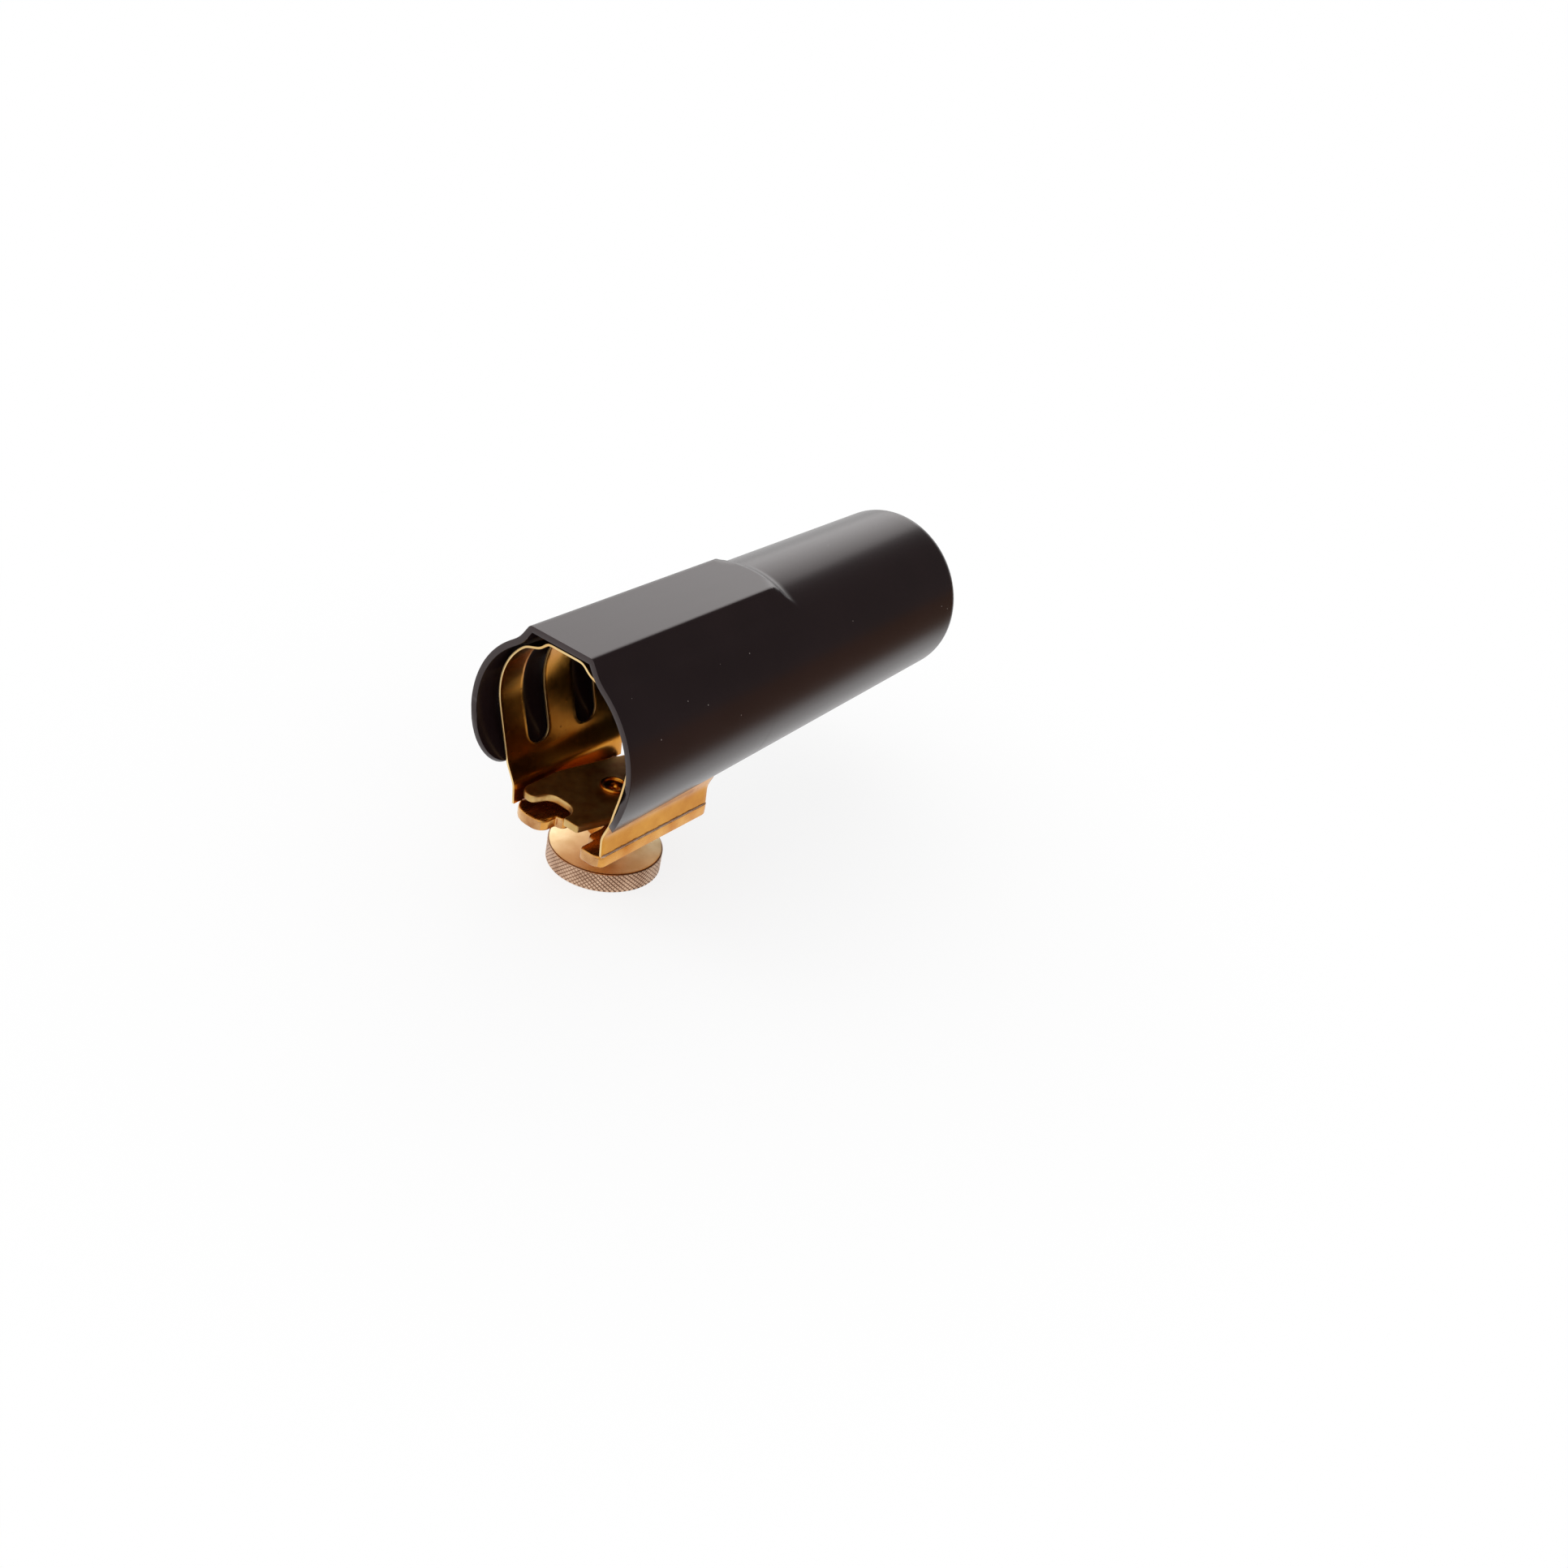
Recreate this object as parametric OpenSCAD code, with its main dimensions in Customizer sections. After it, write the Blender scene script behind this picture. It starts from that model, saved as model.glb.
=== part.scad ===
// Tenor saxophone ligature with its slide-on mouthpiece cap.
// Origin: centre of the round bore of the band. +Y runs towards the closed
// end of the cap, +Z is up and the thumbscrew hangs below.

/* [Band] */
// Outer radius of the round sides of the band
band_r = 13; // [12.4:0.1:13.2]
// Thickness of the brass sheet
sheet = 0.6; // [0.4:0.05:0.8]
// Length of the band along the mouthpiece
band_len = 25; // [21:0.5:26]
// Lean of the band's end faces, top towards the open mouth of the cap
band_lean = 5.5; // [0:0.5:7]
// How far the middle of the band lies behind the screw axis, at bore height
band_back = -2.1; // [-3:0.1:0]
// Angle below horizontal where the round side turns straight
side_angle = 10.8; // [8:0.2:13]
// Half width over the band where it turns in above the flanges
hip_half = 10.9; // [10.5:0.1:11.1]
// Half width over the two flanges
flange_half = 9.4; // [9:0.1:9.8]
// Height of the flanges above the base plate
flange_h = 3.5; // [2.5:0.1:4.5]
// Height of the flat crown above the centre of the bore
crown_z = 12.8; // [12.6:0.1:13]
// Half width of the flat crown
crown_half = 3.5; // [3:0.1:4]

/* [Band slots] */
// Width of each slot
slot_w = 4.6; // [3:0.1:5.5]
// Distance between the two slots of one side
slot_pitch = 10.8; // [9:0.1:12]
// Lower end of a slot, below the centre of the bore
slot_low = 11; // [8:0.1:12]
// Upper end of a slot, above the centre of the bore
slot_high = 10.6; // [8:0.1:10.8]

/* [Base plate] */
// Drop from the centre of the bore to the top of the base plate
plate_drop = 19.1; // [18:0.1:21]
// Thickness of the base plate
plate_t = 2; // [1.2:0.1:2.4]
// Length of the base plate
plate_len = 26.8; // [22:0.2:28]
// How far the base plate stands out past each flange
plate_lip = 0.2; // [0:0.05:0.4]
// Corner radius of the base plate
plate_corner = 1.8; // [0.5:0.1:3]
// Width of the notch in each end
notch_w = 7.8; // [6:0.1:9]
// Offset of the notches from the screw, towards the right-hand flange
notch_shift = 1.4; // [0:0.1:1.6]
// Width of the throat between the nibs of the notch
throat_w = 4.8; // [3:0.1:5.4]
// Radius of each nib
nib_r = 1.3; // [0.8:0.1:1.6]

/* [Pressure plate] */
// Thickness of the pressure plate
press_t = 1.3; // [0.8:0.1:1.6]
// Length of the pressure plate
press_len = 26.4; // [22:0.2:27]
// Clearance between the pressure plate and each flange
press_gap = 0.3; // [0.2:0.05:1]
// Corner radius of its broad prongs
press_corner = 1.6; // [1:0.1:2.4]
// Half width of the plate at its narrow prong
prong_edge = 4.4; // [4.2:0.1:6]
// Distance from the screw to where the narrow side has become full width
taper_reach = 3.7; // [2:0.1:6]
// Radius of the scallop in each end
scallop_r = 2.7; // [1.5:0.1:3]
// Offset of the scallops from the screw, away from the narrow prong
scallop_shift = 1.3; // [0.5:0.1:1.5]
// Depth of each scallop
scallop_depth = 3.5; // [2.8:0.1:4.5]
// Rise of its top face above the base plate, as it lies at rest
press_rise = 3.1; // [2.8:0.1:3.6]

/* [Thumbscrew] */
// Radius of the knurled head
head_r = 9.3; // [7:0.1:11]
// Thickness of the head
head_t = 3.5; // [2:0.1:5]
// Drop from the top of the base plate to the head
head_drop = 7.5; // [7.2:0.1:9]
// Outer radius of the threaded shank
shank_r = 2; // [1.8:0.1:2.4]
// Rim bevel of the head
head_bevel = 0.35; // [0.1:0.05:0.8]
// Radial play of turning fits
fit_play = 0.05; // [0.02:0.01:0.08]
// Radius of the threaded boss under the base plate
boss_r = 3.6; // [3.2:0.1:4.5]
// Height of the threaded boss
boss_h = 3; // [2:0.1:3.2]

/* [Rivet] */
// Radius of the rolled rivet head on the pressure plate
rivet_head_r = 2.3; // [2.1:0.1:3]
// Height of the rolled rivet head
rivet_head_h = 0.5; // [0.3:0.05:0.8]
// Radius of the rivet in the plate's hole
rivet_r = 1.5; // [1.3:0.1:1.6]

/* [Cap] */
// Inner radius of the cap at its mouth
cap_bore_r = 14.85; // [14.75:0.05:15.8]
// Inner radius of the cap before its rounded end
cap_bore_end_r = 13.55; // [13:0.05:14.5]
// Overall length of the cap
cap_len = 91; // [80:1:105]
// Wall thickness of the cap
cap_wall = 1.15; // [0.9:0.05:1.2]
// Rounding of the closed end
end_round = 3.2; // [2:0.1:5]
// Overhang of the mouth in front of the screw axis
cap_front = 17.1; // [16:0.1:18]
// Height of the cap's axis against the bore, at the mouth
cap_axis_z = -2; // [-2.3:0.1:-1.8]
// Rise of the cap's axis towards its closed end, in degrees
cap_rise = 1.1; // [0.8:0.1:1.4]
// Length of the raised land along the top
land_len = 45.5; // [40:0.5:60]
// Width of the flat of the land
land_w = 11.6; // [10:0.1:13]
// Height of the hollow under the land's flat above the cap's axis at the mouth
land_bore_z = 15.7; // [15.6:0.05:16.2]
// Half width of the underside slot
underslot_half = 11.8; // [11.6:0.1:12.2]
// Length of the underside slot
underslot_len = 35; // [33:0.5:45]
// Rounding of the two corners where the slot opens into the mouth
mouth_corner = 4.5; // [2:0.1:6]
// Rounding at the closed end of the slot
slot_corner = 6; // [2:0.5:9]

/* [Hidden] */

brass = "#d39a45";
worn_brass = "#b98f68";
solder = "#e8c27c";
black = "#2a2424";
$fn = 96;
eps = 0.01;
big = 80;

plate_top = -plate_drop;
plate_low = plate_top - plate_t;
plate_half = flange_half + plate_lip;
flange_top = plate_top + flange_h;
hip_z = (hip_half * cos(side_angle) - band_r) / sin(side_angle);
shoulder = [0.6, 0.8];
shoulder_foot = 1.5;
slot_mid = (slot_high - slot_low) / 2;
press_top = plate_top + press_rise;
press_low = press_top - press_t;
press_half = flange_half - sheet - press_gap;
head_top = plate_top - head_drop;
shank_top = press_low - fit_play;
shank_bore = shank_r + fit_play;
seam_r = 0.45;
keyhole_r = throat_w / 2;
keyhole_y = plate_len / 2 - 6.6;
nib_y = plate_len / 2 - 4.6;
stem_sink = 1.2;
stem_end_gap = 0.1;
roll_r = 0.25;
cap_mouth_r = cap_bore_r + cap_wall;
cap_end_r = cap_bore_end_r + cap_wall;
land_z = land_bore_z + cap_wall;
land_bevel = 0.9;
land_flank = 2.6;
land_sink = 3.6;
underslot_drop = 2;

// Tilts a piece by the lean of the band, about the X axis at bore height
module leaned() {
    translate([0, band_back, 0]) rotate([band_lean, 0, 0]) children();
}

// Extrudes an outline drawn in X and Z along the Y axis, from y0 to y1
module along_y(y0, y1) {
    translate([0, y1, 0]) rotate([90, 0, 0]) linear_extrude(y1 - y0) children();
}

// Corner b of a bent strip, moved by t square to both of the edges that meet there
function mitre(a, b, c, t) =
    let (u = (b - a) / norm(b - a), v = (c - b) / norm(c - b), n = [-u[1] - v[1], u[0] + v[0]])
    b + t * n / (1 + u * v);

function on_bore(r, angle) = [r * cos(angle), r * sin(angle)];

// Strip of sheet along a bent line: its ends are square to the round part
module sheet_strip(line, t, start, end) {
    last = len(line) - 1;
    inner = [for (i = [last - 1:-1:1]) mitre(line[i - 1], line[i], line[i + 1], t)];
    polygon(concat(line, [end], inner, [start]));
}

// Round side between the shoulder and the straight part
module round_side() {
    difference() {
        rotate([90, 0, 0]) cylinder(r = band_r, h = big, center = true);
        rotate([90, 0, 0]) cylinder(r = band_r - sheet, h = big + 2, center = true);
        along_y(-big / 2 - 1, big / 2 + 1)
            polygon([[0, 0], big * shoulder, [-big, big], [-big, -big], on_bore(big, -side_angle)]);
    }
}

// Straight side, hip and flange below the round part
module skirt() {
    line = [on_bore(band_r, -side_angle), [hip_half, hip_z],
            [flange_half, flange_top], [flange_half, plate_top]];
    start = on_bore(band_r - sheet, -side_angle);
    along_y(-big / 2, big / 2)
        sheet_strip(line, -sheet, start, [flange_half - sheet, plate_top]);
}

// Flat crown with its two shoulders
module crown() {
    foot = crown_half + shoulder_foot;
    left = [-shoulder[0], shoulder[1]];
    line = [band_r * shoulder, [foot, crown_z - shoulder_foot], [crown_half, crown_z],
            [-crown_half, crown_z], [-foot, crown_z - shoulder_foot], band_r * left];
    along_y(-big / 2, big / 2)
        sheet_strip(line, sheet, (band_r - sheet) * shoulder, (band_r - sheet) * left);
}

// One upright slot with round ends, cut through both sides of the band
module band_slot(y) {
    leaned() translate([0, y, 0]) {
        for (z = [slot_high - slot_w / 2, slot_w / 2 - slot_low])
            translate([0, 0, z]) rotate([0, 90, 0]) cylinder(d = slot_w, h = 40, center = true);
        translate([0, 0, slot_mid]) cube([40, slot_w, slot_high + slot_low - slot_w], center = true);
    }
}

module band() {
    color(brass) difference() {
        union() {
            crown();
            for (side = [0, 1]) mirror([side, 0, 0]) {
                round_side();
                skirt();
            }
        }
        for (end = [-1, 1])
            leaned() translate([0, end * (band_len + big) / 2, 0]) cube([40, big, big], center = true);
        for (side = [-1, 1]) band_slot(side * slot_pitch / 2);
    }
}

// Flat outline with four round corners, centred on the screw
module rounded_slab(w, l, r, t) {
    cube([w - 2 * r, l, t], center = true);
    cube([w, l - 2 * r, t], center = true);
    for (x = [-1, 1], y = [-1, 1])
        translate([x * (w / 2 - r), y * (l / 2 - r), 0]) cylinder(r = r, h = t, center = true);
}

// Keyhole notch at one end of the base plate, narrowed by two round nibs
module keyhole_notch(end) {
    depth = plate_len / 2 - nib_y;
    h = plate_t + 1;
    translate([notch_shift, 0, 0]) {
        translate([0, end * keyhole_y, 0]) cylinder(r = keyhole_r, h = h, center = true);
        translate([0, end * (keyhole_y + nib_y) / 2, 0])
            cube([throat_w, nib_y - keyhole_y, h], center = true);
        difference() {
            translate([0, end * (nib_y + depth / 2 + 0.5), 0]) cube([notch_w, depth + 1, h], center = true);
            for (x = [-1, 1])
                translate([x * (throat_w / 2 + nib_r), end * nib_y, 0])
                    cylinder(r = nib_r, h = h + 1, center = true);
        }
    }
}

module base_plate() {
    color(brass) translate([0, 0, plate_top - plate_t / 2]) difference() {
        rounded_slab(2 * plate_half, plate_len, plate_corner, plate_t);
        cylinder(r = shank_bore, h = plate_t + 1, center = true);
        for (end = [-1, 1]) keyhole_notch(end);
    }
}

module threaded_boss() {
    color(brass) translate([0, 0, plate_low - boss_h]) difference() {
        cylinder(r = boss_r, h = boss_h);
        translate([0, 0, -eps]) cylinder(r = shank_bore, h = boss_h + 2 * eps);
    }
}

// Fillet of solder inside the foot of each flange, on top of the base plate
module solder_seams() {
    seam_len = band_len - 3;
    inner = flange_half - sheet;
    color(solder) for (x = [-1, 1])
        translate([x * inner, 0, plate_top]) intersection() {
            rotate([90, 0, 0]) cylinder(r = seam_r, h = seam_len, center = true);
            translate([-x * seam_r, 0, seam_r]) cube([2 * seam_r, seam_len + 1, 2 * seam_r], center = true);
        }
}

// Half of the pressure plate's cut-outs; the other half is this one turned round
module press_cuts() {
    h = press_t + 1;
    far = press_len / 2;
    straight = scallop_depth - scallop_r;
    translate([-scallop_shift, -straight - far, 0]) cylinder(r = scallop_r, h = h, center = true);
    translate([-scallop_shift, -straight / 2 - far - 0.5, 0])
        cube([2 * scallop_r, straight + 1, h], center = true);
    translate([0, 0, -h / 2]) linear_extrude(h)
        polygon([[prong_edge, -far - 1], [prong_edge, -far], [press_half, taper_reach],
                 [press_half + 2, taper_reach], [press_half + 2, -far - 1]]);
}

module pressure_plate() {
    color(brass) translate([0, 0, press_low + press_t / 2]) difference() {
        rounded_slab(2 * press_half, press_len, press_corner, press_t);
        cylinder(r = rivet_r + fit_play, h = press_t + 1, center = true);
        for (turn = [0, 180]) rotate([0, 0, turn]) press_cuts();
    }
}

// Tubular rivet: rolled head with a conical dimple, and a stem into the screw
module tip_rivet() {
    stem = press_t + 2 * fit_play + stem_sink;
    color(brass) translate([0, 0, press_top + fit_play]) rotate_extrude() polygon([
        [0, -stem], [rivet_r, -stem], [rivet_r, 0], [rivet_head_r - 0.1, 0],
        for (a = [0:15:90]) [rivet_head_r, rivet_head_h] - roll_r * [1 - cos(a), 1 - sin(a)],
        [rivet_r, rivet_head_h - 0.05], [rivet_r - 0.25, rivet_head_h - 0.2], [0.3, -0.7], [0, -0.75]]);
}

module thumbscrew() {
    stem_bore = rivet_r + fit_play;
    color(worn_brass) difference() {
        rotate_extrude() polygon([
            [0, head_top - head_t], [head_r - head_bevel, head_top - head_t],
            [head_r, head_top - head_t + head_bevel], [head_r, head_top - head_bevel],
            [head_r - head_bevel, head_top], [shank_r, head_top], [shank_r, shank_top], [0, shank_top]]);
        translate([0, 0, shank_top - stem_sink - stem_end_gap]) cylinder(r = stem_bore, h = 2);
    }
}

// Tapered shell of revolution about the cap's axis, a wall smaller inside
module cap_cone(inset, front) {
    round_r = end_round - inset;
    end_y = cap_len - inset;
    body_r = cap_end_r - inset;
    taper = (cap_mouth_r - cap_end_r) / (cap_len - end_round);
    rotate([-90, 0, 0]) rotate_extrude() polygon([
        [0, -front], [cap_mouth_r - inset + taper * front, -front],
        for (a = [0:10:90]) [body_r - round_r + round_r * cos(a), end_y - round_r + round_r * sin(a)],
        [0, end_y]]);
}

// Raised land with bevelled edges and sloping flanks, a wall smaller inside
module cap_land(inset, front) {
    top = land_z - inset;
    low = top - land_sink;
    flat = land_w / 2 - inset / 2;
    edge = flat + land_bevel;
    foot = flat + land_flank;
    along_y(-front, land_len - inset)
        polygon([[-flat, top], [flat, top], [edge, top - land_bevel], [foot, low],
                 [-foot, low], [-edge, top - land_bevel]]);
}

// Open slot under the mouth: parallel sides, a rounded end and flared mouth corners
module underside_slot() {
    h = 30;
    w = 2 * underslot_half;
    translate([0, 0, -h - underslot_drop]) {
        translate([-underslot_half, -1, 0]) cube([w, underslot_len + 1 - slot_corner, h]);
        translate([slot_corner - underslot_half, 0, 0]) cube([w - 2 * slot_corner, underslot_len, h]);
        for (x = [-1, 1]) {
            translate([x * (underslot_half - slot_corner), underslot_len - slot_corner, 0])
                cylinder(r = slot_corner, h = h);
            translate([x * underslot_half, 0, 0]) difference() {
                translate([-mouth_corner, -1, 0]) cube([2 * mouth_corner, mouth_corner + 1, h]);
                translate([x * mouth_corner, mouth_corner, -1]) cylinder(r = mouth_corner, h = h + 2);
                translate([x * (mouth_corner + 5), 0, h / 2])
                    cube([10, 3 * mouth_corner, h + 2], center = true);
            }
        }
    }
}

module cap() {
    color(black) translate([0, -cap_front, cap_axis_z]) difference() {
        union() {
            rotate([cap_rise, 0, 0]) cap_cone(0, 2);
            cap_land(0, 2);
        }
        union() {
            rotate([cap_rise, 0, 0]) cap_cone(cap_wall, 4);
            cap_land(cap_wall, 4);
        }
        translate([0, -big / 2, 0]) cube(big, center = true);
        underside_slot();
    }
}

band();
base_plate();
threaded_boss();
solder_seams();
tip_rivet();
pressure_plate();
thumbscrew();
cap();
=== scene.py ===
import math

import bmesh
import bpy
import numpy as np
from mathutils import Matrix


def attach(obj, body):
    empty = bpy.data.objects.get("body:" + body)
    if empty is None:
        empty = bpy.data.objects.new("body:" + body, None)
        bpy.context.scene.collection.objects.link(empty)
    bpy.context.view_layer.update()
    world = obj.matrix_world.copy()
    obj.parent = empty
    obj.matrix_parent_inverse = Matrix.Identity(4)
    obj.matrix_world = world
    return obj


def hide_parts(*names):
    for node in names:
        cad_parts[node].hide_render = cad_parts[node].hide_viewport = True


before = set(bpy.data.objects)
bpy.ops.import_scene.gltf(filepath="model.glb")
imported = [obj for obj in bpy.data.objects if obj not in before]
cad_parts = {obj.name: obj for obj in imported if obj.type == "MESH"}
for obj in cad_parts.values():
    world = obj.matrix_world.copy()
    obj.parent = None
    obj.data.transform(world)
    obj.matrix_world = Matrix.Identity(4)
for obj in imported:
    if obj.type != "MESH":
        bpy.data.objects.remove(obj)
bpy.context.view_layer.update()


# ---------------------------------------------------------------- base plate
# The thick brass plate that closes the band below. It is sawn from rolled bar, its two ends are
# milled with keyhole notches, and its edges are broken by hand before it is gilded.
MM = 0.001
BORE_DROP = 19.1
BASE_T = 2.0
BASE_TOP = -BORE_DROP
BASE_LOW = BASE_TOP - BASE_T
BASE_HALF = 9.6
BASE_END = 13.4
SHANK_HOLE = 2.05
NOTCH_LEFT, NOTCH_RIGHT = -2.5, 5.3
THROAT_LEFT, THROAT_RIGHT = -1.0, 3.8
NIB_END, KEYHOLE_END = 10.1, 4.4


def linear(code):
    """An sRGB hex colour as linear red, green, blue and alpha: the sRGB curve undone channel by channel."""
    srgb = np.array([int(code[i:i + 2], 16) for i in (1, 3, 5)]) / 255
    rgb = np.where(srgb <= 0.04045, srgb / 12.92, ((srgb + 0.055) / 1.055) ** 2.4)
    return (*rgb.tolist(), 1.0)


def add_node(tree, kind, inputs=None, **settings):
    """Adds one shader node with its settings, and links or sets its inputs."""
    made = tree.nodes.new(kind)
    for key, value in settings.items():
        setattr(made, key, value)
    for key, value in (inputs or {}).items():
        if isinstance(value, bpy.types.NodeSocket):
            tree.links.new(value, made.inputs[key])
        else:
            made.inputs[key].default_value = value
    return made


def new_material(name):
    """An empty node material, with its tree, its output and its Object coordinates."""
    made = bpy.data.materials.new(name)
    made.use_nodes = True
    made.node_tree.nodes.clear()
    out = add_node(made.node_tree, "ShaderNodeOutputMaterial")
    place = add_node(made.node_tree, "ShaderNodeTexCoord").outputs["Object"]
    return made, made.node_tree, out, place


def per_mm(size):
    """The texture scale at which one cell of the pattern is size millimetres on the object."""
    return 1000.0 / size


def gilt_brass(name, deep, pale, rough, scratch, pits, along=(1.0, 0.06, 1.0), spread=0.16):
    """Gilded brass: colour drifting from deep to pale, streaks of rolling and scratches, and small pits.

    The streaks also dull it, from rough to rough + spread. A pits under 0 raises specks instead.
    """
    made, tree, out, place = new_material(name)
    cloud = add_node(tree, "ShaderNodeTexNoise", {"Vector": place, "Scale": per_mm(5.0), "Detail": 4.0})
    stretch = add_node(tree, "ShaderNodeMapping", {"Vector": place, "Scale": along})
    streak = add_node(tree, "ShaderNodeTexNoise",
                      {"Vector": stretch.outputs[0], "Scale": per_mm(0.22), "Detail": 3.0,
                       "Roughness": 0.6})
    pit = add_node(tree, "ShaderNodeTexVoronoi", {"Vector": place, "Scale": per_mm(1.3), "Randomness": 1.0})
    dent = add_node(tree, "ShaderNodeMapRange",
                    {"Value": pit.outputs["Distance"], "From Min": 0.06, "From Max": 0.16,
                     "To Min": -pits, "To Max": 0.0})
    colour = add_node(tree, "ShaderNodeValToRGB", {"Fac": cloud.outputs["Fac"]})
    colour.color_ramp.elements[0].position = 0.3
    colour.color_ramp.elements[0].color = linear(deep)
    colour.color_ramp.elements[1].position = 0.7
    colour.color_ramp.elements[1].color = linear(pale)
    dull = add_node(tree, "ShaderNodeMapRange",
                    {"Value": streak.outputs["Fac"], "From Min": 0.3, "From Max": 0.75,
                     "To Min": rough, "To Max": rough + spread})
    height = add_node(tree, "ShaderNodeMath", {0: streak.outputs["Fac"], 1: scratch, 2: dent.outputs[0]},
                      operation="MULTIPLY_ADD")
    bump = add_node(tree, "ShaderNodeBump",
                    {"Height": height.outputs[0], "Strength": 0.6, "Distance": 0.02 * MM})
    shader = add_node(tree, "ShaderNodeBsdfPrincipled",
                      {"Base Color": colour.outputs["Color"], "Metallic": 1.0,
                       "Roughness": dull.outputs[0], "Normal": bump.outputs[0]})
    tree.links.new(shader.outputs[0], out.inputs["Surface"])
    return made


def round_corners(corners, steps=7):
    """A closed outline with every corner turned into an arc.

    Each arc touches both sides of its corner, its centre lies on the bisector, and its points are
    its two end radii mixed by the sine rule.
    """
    corners = np.array(corners, float)
    point, radius = corners[:, :2], corners[:, 2:]
    back = np.roll(point, 1, 0) - point
    ahead = np.roll(point, -1, 0) - point
    back /= np.linalg.norm(back, axis=1, keepdims=True)
    ahead /= np.linalg.norm(ahead, axis=1, keepdims=True)
    half = np.arccos(np.clip((back * ahead).sum(1, keepdims=True), -1, 1)) / 2
    bisector = back + ahead
    bisector /= np.linalg.norm(bisector, axis=1, keepdims=True)
    centre = point + bisector * radius / np.sin(half)
    reach = radius / np.tan(half)
    first, last = point + back * reach - centre, point + ahead * reach - centre
    sweep = (math.pi - 2 * half)[:, None, :]
    part = np.linspace(0, 1, steps)[None, :, None]
    arc = np.sin((1 - part) * sweep) * first[:, None, :] + np.sin(part * sweep) * last[:, None, :]
    return (centre[:, None, :] + arc / np.sin(sweep)).reshape(-1, 2)


def inset(outline, depth):
    """A closed anticlockwise outline moved inwards by depth, square to the line at each of its points."""
    along = np.roll(outline, -1, 0) - np.roll(outline, 1, 0)
    along /= np.linalg.norm(along, axis=1, keepdims=True)
    return outline + depth * np.stack([-along[:, 1], along[:, 0]], 1)


def ring_faces(rings, around, start=0):
    """Quads between rings of equally many points, each ring closed on itself."""
    ring, spot = np.meshgrid(np.arange(rings - 1), np.arange(around), indexing="ij")
    ahead = (spot + 1) % around
    quads = np.stack([ring * around + spot, ring * around + ahead,
                      (ring + 1) * around + ahead, (ring + 1) * around + spot], -1)
    return (quads.reshape(-1, 4) + start).tolist()


BORE_STEPS, BORE_EDGE, FLAT_MARGIN, SPLIT_REACH = 48, 0.1, 0.12, 10.5


def plate_with_hole(outline, hole_r, low, high, edge):
    """A flat plate with a round hole at the origin and rounded edges, whose radius is given at each point.

    Each wall is a stack of rings: a quarter circle out, the straight wall, and a quarter circle in,
    with a narrow flat margin on either face so that the faces shade flat.
    Each face is two polygons that meet at the outline points nearest x = 0, on the nibs' inner side.
    """
    turn = np.linspace(0, math.pi / 2, 5)
    inwards = np.concatenate([[1.0], 1 - np.sin(turn), 1 - np.cos(turn), [1.0]])
    margin = np.zeros(len(inwards))
    margin[0] = margin[-1] = FLAT_MARGIN
    from_low = np.concatenate([[0.0], 1 - np.cos(turn)])
    angle = np.linspace(0, 2 * math.pi, BORE_STEPS, endpoint=False)
    circle = np.stack([np.cos(angle), np.sin(angle)], 1)

    def heights(radius):
        return np.concatenate([low + np.multiply.outer(from_low, radius),
                               high - np.multiply.outer(from_low[::-1], radius)])

    wall = [np.column_stack([inset(outline, (edge * part + flat)[:, None]), z])
            for part, flat, z in zip(inwards, margin, heights(edge))]
    bore = [np.column_stack([circle * (hole_r + BORE_EDGE * part + flat), np.full(BORE_STEPS, z)])
            for part, flat, z in zip(inwards, margin, heights(BORE_EDGE))]
    rings, count = len(inwards), len(outline)
    first_bore, quarter = rings * count, BORE_STEPS // 4
    faces = ring_faces(rings, count)
    faces += [face[::-1] for face in ring_faces(rings, BORE_STEPS, first_bore)]
    inner = np.abs(outline[:, 1]) < SPLIT_REACH
    front = int(np.argmin(np.where(inner & (outline[:, 1] < 0), np.abs(outline[:, 0]), 99)))
    rear = int(np.argmin(np.where(inner & (outline[:, 1] > 0), np.abs(outline[:, 0]), 99)))
    right = [i % count for i in range(front, front + (rear - front) % count + 1)]
    left = [i % count for i in range(rear, rear + (front - rear) % count + 1)]
    right_bore = [first_bore + i % BORE_STEPS for i in range(quarter, -quarter - 1, -1)]
    left_bore = [first_bore + i % BORE_STEPS for i in range(3 * quarter, quarter - 1, -1)]
    lid, lid_bore = (rings - 1) * count, (rings - 1) * BORE_STEPS
    for line, arc in ((right, right_bore), (left, left_bore)):
        faces.append([i + lid for i in line] + [i + lid_bore for i in arc])
        faces.append([*line, *arc][::-1])
    return np.concatenate(wall + bore), faces


def make_piece(name, points, faces, materials, body, replaced=(), sharp=40):
    """Makes a piece from points in millimetres, closes its seams and poles, and rides it on its body."""
    mesh = bpy.data.meshes.new(name)
    mesh.from_pydata((np.asarray(points) * MM).tolist(), [], faces)
    work = bmesh.new()
    work.from_mesh(mesh)
    bmesh.ops.remove_doubles(work, verts=work.verts, dist=2e-4 * MM)
    bmesh.ops.dissolve_degenerate(work, edges=work.edges, dist=1e-4 * MM)
    work.to_mesh(mesh)
    work.free()
    for material in materials:
        mesh.materials.append(material)
    mesh.shade_smooth()
    if sharp:
        mesh.set_sharp_from_angle(angle=math.radians(sharp))
    made = bpy.data.objects.new(name, mesh)
    bpy.context.scene.collection.objects.link(made)
    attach(made, body)
    if replaced:
        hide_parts(*replaced)
    return made


# Gilded rolled bar: warm and mirror-like, with the cutter's marks and tarnish showing through.
bar_brass = gilt_brass("gilt brass bar, milled", "#c67c2c", "#e8b060", 0.18, 0.2, 0.4)
# Its sawn ends keep a coarser, torn surface under the gilding.
sawn_brass = gilt_brass("gilt brass bar, sawn end", "#94562a", "#ecbe84", 0.22, 1.0, 1.4,
                        along=(1.0, 1.0, 0.3))

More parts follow.
